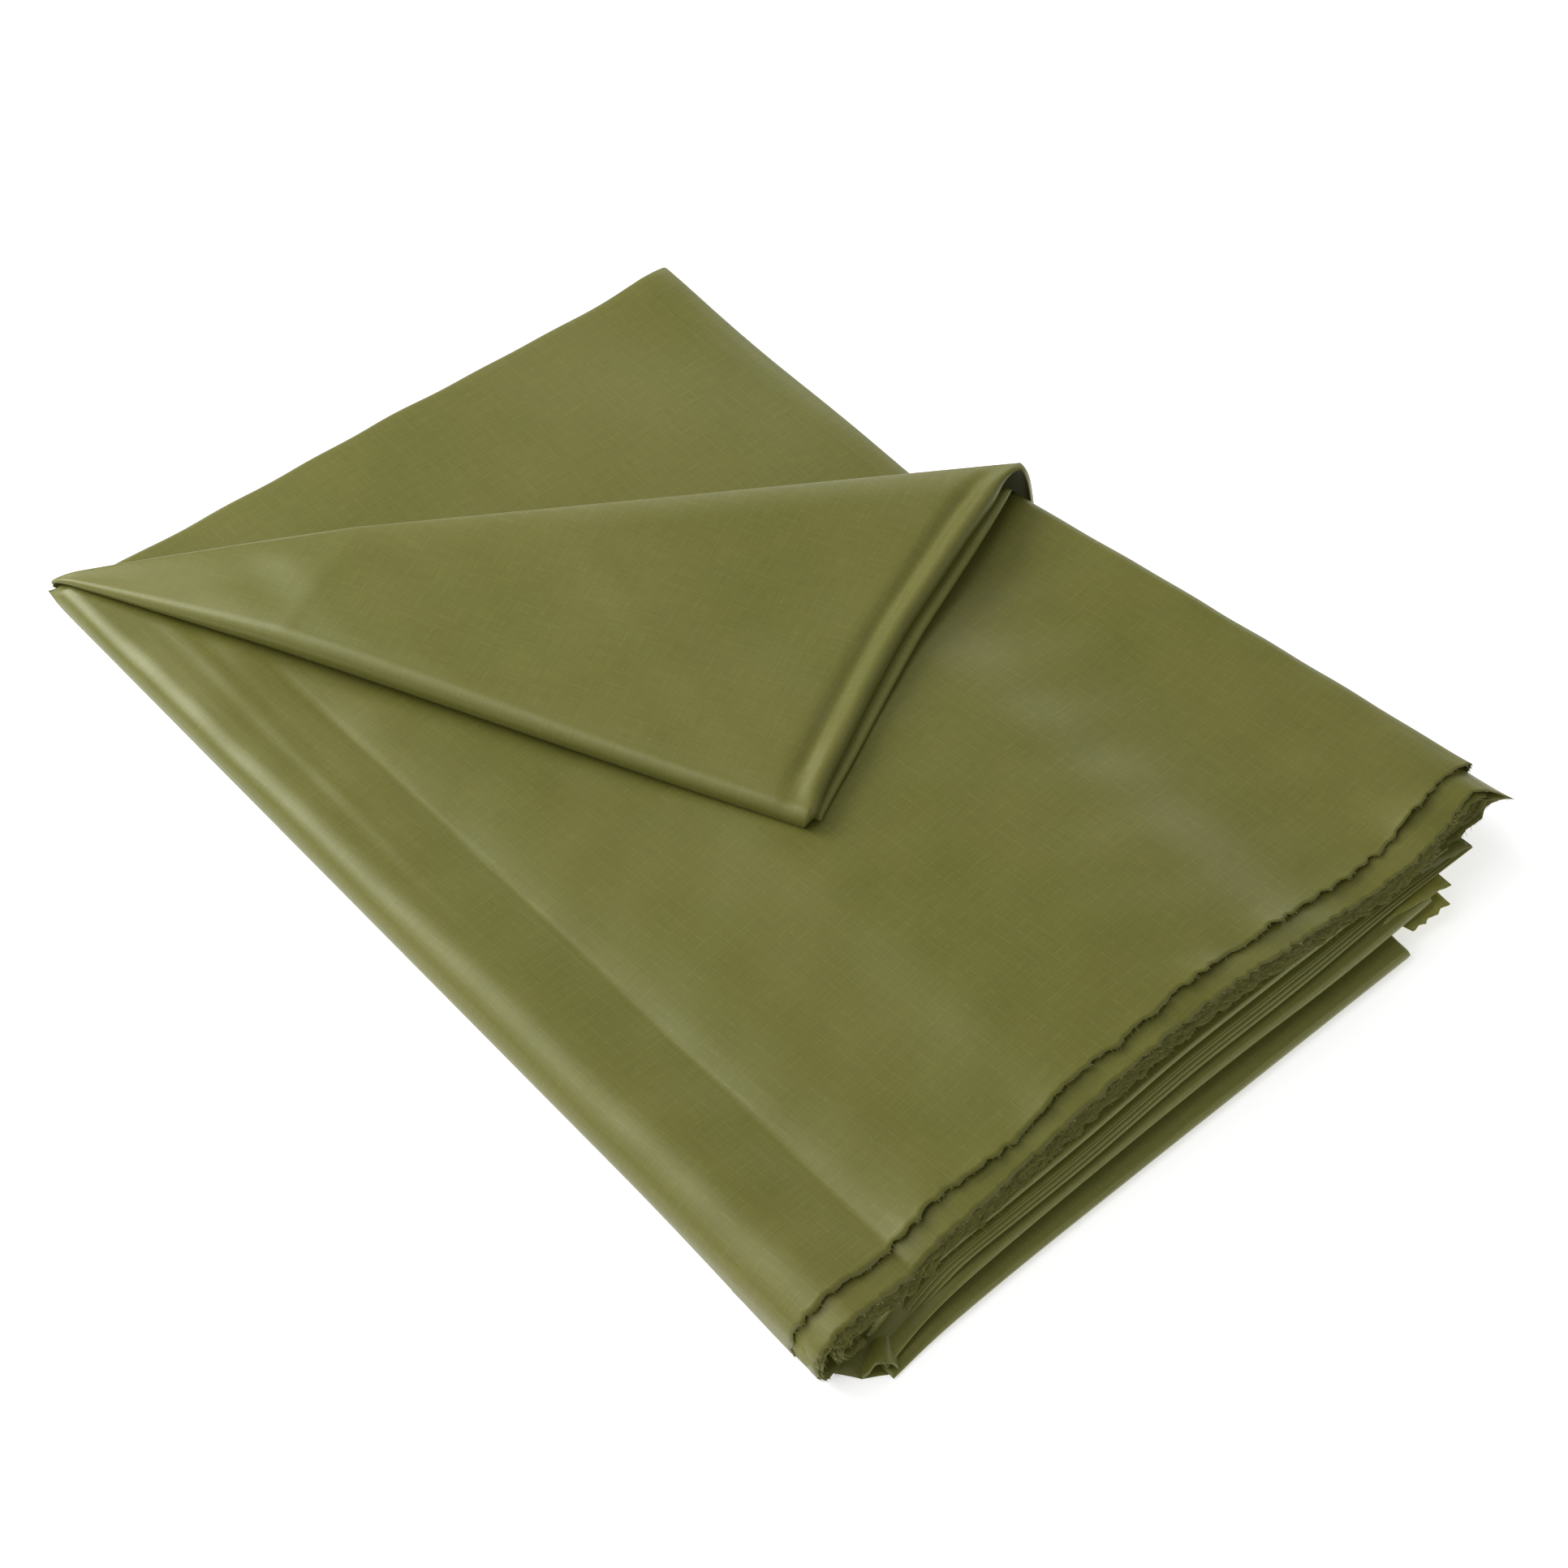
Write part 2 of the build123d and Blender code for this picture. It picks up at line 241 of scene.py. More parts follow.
def crease_line(x):
    """Where the pressed crease beside the spine runs."""
    return mix(-109.0, -106.5, (x + 110) / 285)


def top_height(x, y):
    """The outer ply's upper surface over the whole pack."""
    plane = level(UPPER_TOP, x, y)
    end_plane = level(UPPER_TOP, outer_x, y)
    in_end = mix(0.12, 1.0, ease(x, -120, 165))
    under_flap = 1 - ease((x - tip[0]) * 0.8, 0, 60)
    relief = (end_profile(y) - end_plane) * in_end
    beside = np.abs(y - crease_line(x))
    crease = -0.75 * np.exp(-beside / 5.5) * ease(x, -150, -60) * (1 - 0.4 * in_end)
    crease -= 0.3 * bell(beside, 0, 1.2) * ease(x, -150, -60)
    soft = 0.42 * ripple(x, y, 105, 3) + 0.17 * ripple(x, y, 38, 5)
    on_spine = (1 - ease(y, -128, -112)) * (1 - ease(x, -90, 60))
    along = 0.22 * ripple(x * 0.15, y, 9, 8, 90, 0.4) * on_spine
    return plane + relief + crease + (soft + along) * (1 - 0.6 * under_flap)


def lower_height(x, y):
    """The upper surface of the lower packet, bare on the far triangle."""
    in_edge = lower_back - y
    band = -1.7 * np.clip(1 - in_edge / 10.5, 0, 1) - 0.25 * bell(in_edge, 10.8, 1.0)
    raised_corner = 2.6 * bell(x, far_corner[0], 26) * bell(y, lower_back, 22)
    soft = 0.42 * ripple(x, y, 105, 13) + 0.12 * ripple(x, y, 38, 15)
    return level(LOWER_TOP, x, y) + band + raised_corner + soft


def far_edge(y):
    """The far edge of the pack, from the spine to the far corner."""
    share = (y - spine_y) / (far_corner[1] - spine_y)
    wave = 0.4 * ripple_along(y, 46, 21) * np.sin(np.clip(share, 0, 1) * pi)
    return mix(far_x, far_corner[0], share) + wave


def corner_fan(x, y, start, end):
    """1 inside the pack, falling to 0 where the plies converge at the near corner."""
    at_corner = ease(x, 120, 185)
    return 1 - at_corner * (1 - ease(y, start, end))


# ---- meshes
def grid_faces(rows, columns, first=0, flip=False):
    """The faces of a grid whose points are numbered row by row from first."""
    index = np.arange(rows * columns).reshape(rows, columns) + first
    faces = np.stack([index[:-1, :-1], index[:-1, 1:], index[1:, 1:], index[1:, :-1]], -1)
    faces = faces.reshape(-1, 4)
    return faces[:, ::-1] if flip else faces


def make_object(name, points, faces, cloth, material, weld=False):
    """One smooth object of points in millimetres, with a pair of flat cloth
    coordinates for each. Shells that share an edge can be welded."""
    mesh = bpy.data.meshes.new(name)
    mesh.from_pydata((points * MM).tolist(), [], faces.tolist())
    mesh.polygons.foreach_set("use_smooth", np.ones(len(mesh.polygons), bool))
    layer = mesh.uv_layers.new(name=CLOTH_MAP)
    layer.data.foreach_set("uv", (cloth[faces.ravel()] * MM).astype(np.float32).ravel())
    if weld:
        shell = bmesh.new()
        shell.from_mesh(mesh)
        bmesh.ops.remove_doubles(shell, verts=shell.verts, dist=0.004 * MM)
        bmesh.ops.dissolve_degenerate(shell, edges=shell.edges, dist=0.001 * MM)
        shell.to_mesh(mesh)
        shell.free()
    mesh.materials.append(material)
    piece = bpy.data.objects.new(name, mesh)
    bpy.context.scene.collection.objects.link(piece)
    return piece


def cloth_turned(along, across, degrees):
    """Flat cloth coordinates whose weave is turned from the pack's own directions."""
    angle = radians(degrees)
    turned_along = along * cos(angle) - across * sin(angle)
    turned_across = along * sin(angle) + across * cos(angle)
    return np.stack([turned_along, turned_across], -1)


def ply_piece(name, points, cloth, material, thickness=PLY, offset=-1.0):
    """A single ply from a grid of points, given the cloth's thickness."""
    rows, columns = points.shape[:2]
    faces = grid_faces(rows, columns)
    piece = make_object(name, points.reshape(-1, 3), faces, cloth.reshape(-1, 2), material)
    solid = piece.modifiers.new("ply_thickness", "SOLIDIFY")
    solid.thickness = thickness * MM
    solid.offset = offset
    return piece


def rim_places(count, rim, turn=6):
    """Places from 0 to 1, closer together within the rim at each end."""
    start = rim[0] * (1 - np.cos(np.linspace(0, pi / 2, turn)))
    end = 1 - rim[1] * (1 - np.cos(np.linspace(pi / 2, 0, turn)))
    return np.concatenate([start[:-1], np.linspace(rim[0], 1 - rim[1], count), end[1:]])


def rim_share(places, rim):
    """Share of a leaf's thickness at these places, rounded off towards both ends."""
    start = np.clip(places / rim[0], 0, 1)
    end = np.clip((1 - places) / rim[1], 0, 1)
    return rounding(start) * rounding(end)


def ruled(start, end, along):
    """Plan places of a grid, from two ends of each of its rows."""
    start, end = np.array(start), np.array(end)
    return start[:, :, None] + (end - start)[:, :, None] * along


class Leaf:
    """One folded leaf: a flat closed shell whose edges all turn over.

    left and right give the (x, y) of its two ends for each place from the spine, 0,
    to the back edge, 1. low and high are functions of x and y. The length and the
    width turn the rim into a share of a leaf.
    """
    length, width = 360.0, 260.0

    def __init__(self, left, right, low, high, rim, columns=60, rows=60, turned=0.0):
        along_rim = (rim / self.length, rim / self.length)
        across_rim = (rim / self.width, rim / self.width)
        across, along = rim_places(rows, across_rim), rim_places(columns, along_rim)
        x, y = ruled(left(across), right(across), along)
        share = rim_share(across, across_rim)[:, None] * rim_share(along, along_rim)[None, :]
        bottom, top = low(x, y), high(x, y)
        middle, half = (bottom + top) / 2, (top - bottom) / 2 * share
        self.size = (len(across), len(along))
        self.upper = np.stack([x, y, middle + half], -1)
        self.lower = np.stack([x, y, middle - half], -1)
        self.cloth = cloth_turned(x, y, turned)


def leaves_piece(name, leaves, material):
    """Several leaves as one object."""
    points, faces, cloth, first = [], [], [], 0
    for leaf in leaves:
        rows, columns = leaf.size
        for surface, flip in ((leaf.upper, False), (leaf.lower, True)):
            points.append(surface.reshape(-1, 3))
            faces.append(grid_faces(rows, columns, first, flip))
            cloth.append(leaf.cloth.reshape(-1, 2))
            first += rows * columns
    points, faces, cloth = np.concatenate(points), np.concatenate(faces), np.concatenate(cloth)
    return make_object(name, points, faces, cloth, material, weld=True)


def settle(piece, rests_on, nodes, follows):
    """Hides the frame's nodes that a finished sheet stands for, and hangs it on the body that it
    follows; with a pair of bodies it only bakes its place."""
    if nodes:
        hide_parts(*nodes)
    if isinstance(follows, str):
        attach(piece, follows)
    else:
        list(follows)
        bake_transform(piece)


# ---- wrapping plies
def under_inset(x, inset):
    """A ply's inset below the spine: past the outer ply's end it sinks to the floor."""
    return inset * (1 - 0.85 * ease(x, 176, 184))


def lower_rounding(x):
    """Powers of the spine's lower rounding, which turns in sharply at the open end."""
    sharp = ease(x, 100, 180)
    return mix(0.92, 0.42, sharp), mix(0.96, 0.42, sharp)


def wrapped_rows(inset, edge, back_y, radii, far_inset):
    """Rows of points of a ply that wraps the pack round the spine, and their runs.

    The rows go over the underside from the back edge, round the spine, and over the
    top to the back edge again. edge gives its raw edge's x for each y.
    """
    along = np.linspace(0, 1, WRAP_COLUMNS) ** 0.9
    near_x = edge(EDGE_START)
    rows, across = [], []

    def add(start, end, rise, run):
        """One row between two (x, y) ends, with its heights from a function."""
        x = mix(start[0], end[0], along)
        y = mix(start[1], end[1], along)
        rows.append(np.stack([x, y, rise(x, y)], -1))
        across.append(run)

    def turned_row(angle, upper):
        """A row round the spine, by the angle from the spine's outermost line."""
        start_x = far_x + 3.8 * sin(angle) if upper else far_x
        x = mix(start_x + far_inset, near_x, along)
        below = under_inset(x, inset)
        here = mix(below, inset, sin(angle)) if upper else below
        reach = spine_reach(x) - here
        turn_y = spine_y + spine_reach(x)
        crest = top_height(x, turn_y) - here
        middle = np.maximum(level(UPPER_TOP, x, turn_y), 8.0) * 0.5
        rise = (crest - middle) if upper else (middle - below - PLY)
        side = 1 if upper else -1
        uneven = 0.28 * sin(angle) if upper else 0
        ripple_out = uneven * ripple(x, 0 * x + angle * 9, 60, 31)
        round_out, round_up = (0.92, 0.96) if upper else lower_rounding(x)
        y = turn_y - reach * cos(angle) ** round_out
        z = middle + side * rise * sin(angle) ** round_up
        rows.append(np.stack([x, y + ripple_out, z], -1))
        across.append(-(pi / 2 - side * angle) * TURN_RUN)

    under_back = lower_back - 2.0 - inset
    far_turn = spine_y + spine_reach(far_x)
    near_turn = spine_y + spine_reach(near_x)
    for y in np.linspace(under_back, far_turn, UNDER_ROWS + 1)[:-1]:
        start = (far_edge(y) + 1.5 + far_inset, y)
        share = (under_back - y) / (under_back - far_turn)
        end = (near_x - 4.0 * (1 - share), mix(under_back, near_turn, share))
        run = -TURN_END_RUN - UNDER_RUN * (1 - share)
        add(start, end, lambda x, y: under_inset(x, inset) + PLY, run)
    for share in np.linspace(1, 0, TURN_ROWS)[:-1]:
        turned_row(pi / 2 * ease(share, 0, 1), False)
    for angle in np.linspace(0, pi / 2, TURN_ROWS)[:-1]:
        turned_row(angle, True)
    end_near = spine_y + spine_reach(edge(NOSE_START))
    near_share = (far_turn - tip[1]) / (apex[1] - tip[1])
    for share in np.linspace(0, 1, TOP_ROWS):
        diagonal = mix(tip, apex, mix(near_share, 1.0, share))
        end_y = mix(end_near, back_y - radii[1], share)
        held_back = radii[0] * share ** 6
        start_x = diagonal[0] + far_inset - BACK_WAY[0] * held_back
        start = (start_x, diagonal[1] - BACK_WAY[1] * held_back)
        end = (edge(end_y), end_y)
        add(start, end, lambda x, y: top_height(x, y) - inset, share * TOP_RUN)
    return rows, across


def ragged(points, edge_depth, seed, lift):
    """Makes a ply's last columns a wavy, ragged raw edge. Gives how far they lift."""
    x_end = points[:, -1, 0]
    run = np.arange(len(points)) * 1.7
    jag = 0.5 * ripple_along(run, 5.5, seed) + 0.35 * ripple_along(run, 15, seed + 1)
    near = np.clip(1 - (x_end[:, None] - points[:, :, 0]) / edge_depth, 0, 1) ** 2
    points[:, :, 0] += near * jag[:, None]
    curl = lift[0] + lift[1] * ripple_along(run, 36, seed + 2)
    return near * curl[:, None]


def crinkle(points, seed):
    """Short tangled waves of a raw edge, within 5 mm of it."""
    near = np.clip(1 - (points[:, -1:, 0] - points[:, :, 0]) / 5.0, 0, 1)
    run = (np.arange(len(points)) * MOUTH_STEP)[:, None] + 0 * near
    return 0.28 * near * ripple(run, points[:, :, 0], 4.0, seed, 0, 0.8)


def back_roll(points, radii, beak):
    """Adds rows that turn a ply's back edge down and under, with a radius at its far
    and at its open end. A beak draws the open end of the roll out to a point."""
    last = points[-1]
    direction = np.array((*BACK_WAY, 0.0))
    radius = np.linspace(radii[0], radii[1], len(last))[:, None]
    near = np.clip(1 - (last[-1, 0] - last[:, 0]) / 14.0, 0, 1)
    rows = []
    for angle in np.linspace(0, BACK_TURN, BACK_ROWS + 1)[1:]:
        down = np.array((0, 0, 1.0)) * radius * (1 - cos(angle))
        row = last + direction * radius * sin(angle) - down
        drawn = bell(angle / pi, 0.40, 0.24)
        row[:, 0] += beak * near * drawn
        pinched = min(beak, 1.0) * 0.80 * near ** 1.5 * drawn
        row[:, 2] = mix(row[:, 2], last[:, 2] - 1.0 - 4.2 * angle / pi, pinched)
        rows.append(row)
    return np.concatenate([points, np.array(rows)])


def wrapping_ply(name, inset, edge, back_y, radii, far_inset, seed, lift, nodes, beak=0.0):
    """A ply round the whole pack, with a raw edge at the open end. Gives its points."""
    rows, across = wrapped_rows(inset, edge, back_y, radii, far_inset)
    points = np.array(rows)
    curl = ragged(points, 11.0, seed, lift)
    flat = len(points) - TOP_ROWS
    turn = flat - TURN_ROWS
    spine_side = 1 - ease(points[:, :, 1], -134, -116)
    rounded = capped(points[:, :, 2], 9.0, points[:, :, 0] - far_x, 0.2)
    points[:, :, 2] = mix(points[:, :, 2], rounded, spine_side)
    points[flat:, :, 2] += curl[flat:]
    points[turn:flat, :, 1] -= curl[turn:flat] * 0.4
    points = back_roll(points, radii, beak)
    back_run = across[-1] + radii[1] * BACK_TURN / BACK_ROWS * np.arange(1, BACK_ROWS + 1)
    across = np.concatenate([across, back_run])
    cloth = cloth_turned(points[:, :, 0], np.repeat(across[:, None], points.shape[1], 1), -2.0)
    piece = ply_piece(name, points, cloth, FACE)
    settle(piece, "bottom_fold_leaves", nodes, SPINE_BLEND)
    return points


# ---- materials
class Nodes:
    """A short way to wire a material."""

    def __init__(self, name):
        self.material = bpy.data.materials.new(name)
        self.material.use_nodes = True
        self.tree = self.material.node_tree
        self.shader = self.tree.nodes["Principled BSDF"]

    def give(self, node, values):
        """Sets a node's inputs, each to a plain value or to another node's output."""
        for place, value in values.items():
            if isinstance(value, bpy.types.NodeSocket):
                self.tree.links.new(value, node.inputs[place])
            elif value is not None:
                node.inputs[place].default_value = value

    def node(self, kind, values=(), **settings):
        made = self.tree.nodes.new("ShaderNode" + kind)
        for key, value in settings.items():
            setattr(made, key, value)
        self.give(made, dict(values))
        return made

    def math(self, operation, first, second=None, third=None):
        values = {0: first, 1: second, 2: third}
        return self.node("Math", values, operation=operation).outputs[0]

    def noise(self, vector, stretch, scale=1.0, detail=2.0, roughness=0.5):
        """Noise over a vector that is first stretched along its axes."""
        place = self.node("VectorMath", {0: vector, 1: stretch}, operation="MULTIPLY").outputs[0]
        values = {"Vector": place, "Scale": scale, "Detail": detail, "Roughness": roughness}
        return self.node("TexNoise", values).outputs["Fac"]

    def blend_colour(self, factor, first, second):
        values = {0: factor, 6: first, 7: second}
        return self.node("Mix", values, data_type="RGBA").outputs[2]


RIPSTOP_CELL = 5.0  # between the thicker threads
RIPSTOP_LINE = 0.34  # half of a thicker thread's width
THREAD_PITCH = 0.55


def ripstop(name, body, sheen_tone, line, roughness, line_strength):
    """Silky ripstop: fine weave, a grid of thicker threads, slubs, and a painted sheen of patches
    in a second tone that stand in for the silk's shifting reflections.
    """
    made = Nodes(name)
    cloth = made.node("UVMap", uv_map=CLOTH_MAP).outputs["UV"]
    part = made.node("SeparateXYZ", {0: cloth})

    def grid_line(axis, stretch):
        """1 on the thicker threads that run one way, a little uneven along them."""
        cell = made.math("MULTIPLY", part.outputs[axis], 1 / (RIPSTOP_CELL * MM))
        wander = made.noise(cloth, stretch, detail=1.0)
        cell = made.math("ADD", cell, made.math("MULTIPLY", wander, 0.05))
        place = made.math("PINGPONG", cell, 0.5)
        width = RIPSTOP_LINE / RIPSTOP_CELL
        values = {"Value": place, "From Min": width, "From Max": width * 0.25}
        mask = made.node("MapRange", values, interpolation_type="SMOOTHSTEP").outputs["Result"]
        strength = made.math("MULTIPLY_ADD", made.noise(cloth, stretch, 2.2), 4.0, -1.6)
        return made.math("MULTIPLY", mask, strength)

    def thread_wave(axis):
        wave = made.math("MULTIPLY", part.outputs[axis], 2 * pi / (THREAD_PITCH * MM))
        return made.math("SINE", wave)

    lines = made.math("MAXIMUM", grid_line("X", (30, 260, 1)), grid_line("Y", (260, 30, 1)))
    weave = made.math("MULTIPLY", thread_wave("X"), thread_wave("Y"))
    slub_along = made.noise(cloth, (90, 2600, 1))
    slub_across = made.noise(cloth, (2600, 90, 1))
    slubs = made.math("ADD", slub_along, slub_across)
    fine_slubs = made.math("MULTIPLY_ADD", slubs, 1.6, -1.6)
    # Painted sheen: noise patches blend the body towards a second tone, standing in for the silk's
    # changing reflections.
    sheen_patches = made.noise(cloth, (9, 14, 1), 1.0, 3.5, 0.62)
    colour = made.blend_colour(sheen_patches, (*body, 1), (*sheen_tone, 1))
    shade = made.math("MULTIPLY_ADD", weave, 0.10, 1.0)
    shade = made.math("ADD", shade, made.math("MULTIPLY", fine_slubs, 0.24))
    lit = made.node("VectorMath", {0: colour, "Scale": shade}, operation="SCALE").outputs[0]
    line_share = made.math("MULTIPLY", lines, line_strength)
    line_share.node.use_clamp = True

    rough = made.math("MULTIPLY_ADD", sheen_patches, 0.10, roughness - 0.05)
    relief = made.math("MULTIPLY_ADD", lines, 0.8, made.math("MULTIPLY", weave, 0.22))
    relief = made.math("ADD", relief, made.math("MULTIPLY", fine_slubs, 0.5))
    bumped = made.node("Bump", {"Strength": 0.22, "Distance": 0.00006, "Height": relief})
    made.give(made.shader, {
        "Base Color": made.blend_colour(line_share, lit, (*line, 1)),
        "Roughness": made.math("MULTIPLY_ADD", lines, -0.06, rough),
        "Normal": bumped.outputs["Normal"],
        "Specular IOR Level": 0.5,
        "Specular Tint": (0.95, 1.0, 0.74, 1),
        "Sheen Weight": 0.02,
        "Sheen Roughness": 0.4,
        "Sheen Tint": (0.8, 0.9, 0.5, 1),
    })
    return made.material


def thread_material():
    """Loose, pale threads of the frayed edges."""
    made = Nodes("frayed_thread")
    change = made.noise(made.node("TexCoord").outputs["Object"], (1, 1, 1), 900.0)
    colour = made.blend_colour(change, (0.10, 0.10, 0.010, 1), (0.36, 0.36, 0.13, 1))
    rough = made.math("MULTIPLY_ADD", change, 0.2, 0.45)
    made.give(made.shader, {"Base Color": colour, "Roughness": rough})
    return made.material


FACE = ripstop(
    "ripstop_face", (0.094, 0.102, 0.016), (0.146, 0.132, 0.027), (0.24, 0.245, 0.10), 0.40, 0.15
)
# Painted light: the same cloth as the face, made brighter so that the folded plies at the open end
# stay lit in the pack's shade.
FOLDED_LIT = ripstop(
    "folded_ply", (0.136, 0.148, 0.027), (0.176, 0.164, 0.038), (0.28, 0.29, 0.13), 0.36, 0.15
)
# Painted light: the pale body stands in for light passing through the thin single plies of the raw
# edges.
RAW = ripstop(
    "raw_edge", (0.190, 0.190, 0.028), (0.085, 0.080, 0.010), (0.26, 0.26, 0.10), 0.62, 0.3
)
# Painted backlight: a brighter, yellower copy of the cloth that makes the thin loose corners glow
# as if lit through from behind.
LOOSE_BACKLIT = ripstop(
    "loose_ply_painted_backlight", (0.28, 0.275, 0.050), (0.20, 0.19, 0.032), (0.34, 0.34, 0.14), 0.50, 0.3
)
THREAD = thread_material()


# ---- frayed threads
def fray(name, edges, count, seed, length, spread):
    """Short loose threads that stand out of raw edges, as one object."""
    random = np.random.default_rng(seed)
    sides, rings = 3, 4
    points, faces = [], []
    for _ in range(count):
        edge = edges[random.integers(len(edges))]
        place = random.uniform(0, len(edge) - 1.001)
        index = int(place)
        root = mix(edge[index], edge[index + 1], place - index)
        side_way = edge[min(index + 1, len(edge) - 1)] - edge[index]
        side_way = side_way / max(np.linalg.norm(side_way), 1e-6)
        lean = random.normal(0, spread)
        way = np.array((1.0, 0, 0)) + side_way * lean + np.array((0, 0, random.normal(-0.15, 0.35)))
        way = unit(way)
        bend = random.normal(0, 0.5, 3)
        size = length * random.uniform(0.35, 1.0) ** 1.5
        radius = random.uniform(0.06, 0.11)
        first = len(points)
        for ring in range(rings):
            share = ring / (rings - 1)
            centre = root + way * size * share + bend * size * share ** 2 * 0.5
            thin = radius * (1 - 0.6 * share)
            for side in range(sides):
                angle = 2 * pi * side / sides
                around = np.array((0.2 * sin(angle), cos(angle), sin(angle)))
                points.append(centre + thin * around)
        for ring in range(rings - 1):
            for side in range(sides):
                near = first + ring * sides + side
                beside = first + ring * sides + (side + 1) % sides
                faces.append((near, beside, beside + sides, near + sides))
    points, faces = np.array(points), np.array(faces)
    piece = make_object(name, points, faces, points[:, :2], THREAD)
    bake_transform(piece)


# ---- the pieces
def build_wraps():
    """The two plies that wrap the pack, each with its frayed edge."""
    points = wrapping_ply(
        "outer_wrapping_ply", 0.0, outer_edge, outer_back, (3.4, 3.4), 0.0, 41, (0.3, 0.5),
        ("outer_ply", "base_outer_ply"),
    )
    fray("outer_ply_fray", [points[:, -1]], 520, 51, 1.5, 0.8)
    points = wrapping_ply(
        "second_wrapping_ply", WRAP_PITCH, second_edge, second_back, (5.0, LOOP_RADIUS), 4.0,
        43, (-0.6, 0.4), ("second_ply", "base_inner_ply"), beak=8.6,
    )
    fray("second_ply_fray", [points[:, -1]], 420, 53, 1.2, 0.8)


def diagonal_side(share):
    """Ends of an upper leaf beside the diagonal fold, for places from spine to back."""
    diagonal = mix(tip[:, None], apex[:, None], mix(0.05, 1.0, share))
    return diagonal[0] + 3.0, diagonal[1] - 1.5 * share


def far_side(share, inset=2.0):
    """Ends of a lower leaf beside the pack's far edge."""
    y = mix(spine_y + 8.0, lower_back - inset, share)
    return far_edge(y) + inset, y


def nose_side(nose, back, near=NOSE_START):
    """Ends of a leaf at the open end, by a function of y."""
    def side(share):
        y = mix(near, back, share)
        return nose(y), y

    return side


def build_nested_folds():
    """The upper packet's folded plies, whose noses step out one below another."""
    shares = (0.0, 0.13, 0.21, 0.28, 0.34, 0.44, 0.66)
    gaps = (0.012, 0.006, 0.006, 0.03, 0.012, 0.03)
    step_back = (0.0, 0.8, 0.3, 1.0, 1.6, 0.6)

    def bound(share):
        def height_there(x, y):
            low = level(LOWER_TOP, x, y) + 0.45
            high = np.minimum(top_height(x, y), level(UPPER_TOP, x, y) + 1.5) - 3.0
            part = share / shares[-1]
            fan = corner_fan(x, y, mix(-126, -130, part), mix(-84, -116, part))
            pressed = 1 - 0.72 * ease(y, 66, 124) * ease(x, 90, 150)
            return mix(0.5 + 1.5 * share, mix(low, high, share * pressed), fan)
        return height_there

    for group, name in enumerate(("lower", "middle", "upper")):
        leaves = []
        for index in (2 * group, 2 * group + 1):
            end = nested_x[2 - group] - step_back[index]
            wander = curve_through(
                (-130, end + 0.2), (-118, end + 0.3), (-95, end), (-40, end + 0.4), (0, end - 0.5),
                (50, end + 0.3), (100, end - 0.2), (128, end + 0.6)
            )
            right = nose_side(wander, nested_back - 1.5 * index)
            top = shares[index + 1] - gaps[index]
            leaves.append(Leaf(diagonal_side, right, bound(shares[index]), bound(top), rim=1.3))
        piece = leaves_piece(f"nested_leaves_{name}", leaves, FOLDED_LIT)
        node = f"nested_fold_{name}"
        settle(piece, "cover_sheet", [node], "upper_packet")


def build_lower_folds():
    """The two lowest folded leaves: thin noses, with dark gaps under the next."""
    def under(x, y):
        return 0 * x + mix(2 * WRAP_PITCH + 0.2, 0.35, ease(x, 180, 192))

    def bottom_top(x, y):
        full = level(BOTTOM_FOLD_TOP, x, y) - 3.0 * ease(x, 176, 197)
        return mix(1.7, full, corner_fan(x, y, -127, -92))

    def second_low(x, y):
        full = level(BOTTOM_FOLD_TOP, x, y) + 0.15 + 0.6 * ease(x, 176, 194)
        return mix(2.2, full, corner_fan(x, y, -127, -92))

    def second_top(x, y):
        full = level(LOWER_TOP, x, y) - 2.2
        full += 1.6 * ease(x, 60, 150) - 0.9 * ease(x, 180, 195)
        return mix(4.2, full, corner_fan(x, y, -127, -88))

    bottom_nose = curve_through(
        (-126, 199.8), (-112, 198.8), (-90, 198.4), (-30, 199.0), (20, 199.9), (60, 200.6),
        (92, open_x - 0.3),
    )
    second_nose = curve_through(
        (-126, 197.0), (-114, 195.0), (-90, 194.0), (-30, 193.4), (20, 193.8), (64, 195.2),
        (106, second_fold_x - 0.4),
    )
    for node, nose, back, low, high, rim in (
        ("bottom_fold", bottom_nose, bottom_fold_back, under, bottom_top, 1.8),
        ("second_fold", second_nose, second_fold_back, second_low, second_top, 1.9),
    ):
        leaf = Leaf(far_side, nose_side(nose, back), low, high, rim, columns=90, rows=90)
        piece = leaves_piece(node + "_leaves", [leaf], FOLDED_LIT)
        settle(piece, "second_wrapping_ply", [node], "lower_packet")


def build_cover():
    """The ply over the lower packet, bare on the far triangle, its two outer edges
    turned down."""
    rim = 3.2
    along_rim, across_rim = (rim / 362, 1e-3), (1e-3, rim / 255)
    along, across = rim_places(130, along_rim, 8), rim_places(110, across_rim, 8)
    y_end = mix(-124.0, second_fold_back, across)
    x, y = ruled(far_side(across, 0.0), (0 * y_end + outer_x - 2, y_end), along)
    fall = np.clip(along / along_rim[0], 0, 1)[None, :]
    fall_back = np.clip((1 - across) / across_rim[1], 0, 1)[:, None]
    share = rounding(fall) * rounding(fall_back)
    low = level(BOTTOM_FOLD_TOP, x, y) * 0.72
    top = mix(3.0, lower_height(x, y) - 0.35, corner_fan(x, y, -134, -100))
    points = np.stack([x, y, mix(low, top, share)], -1)
    piece = ply_piece("cover_sheet", points, cloth_turned(x, y, 1.4), FACE)
    settle(piece, "second_fold_leaves", ["cover_ply"], "lower_packet")


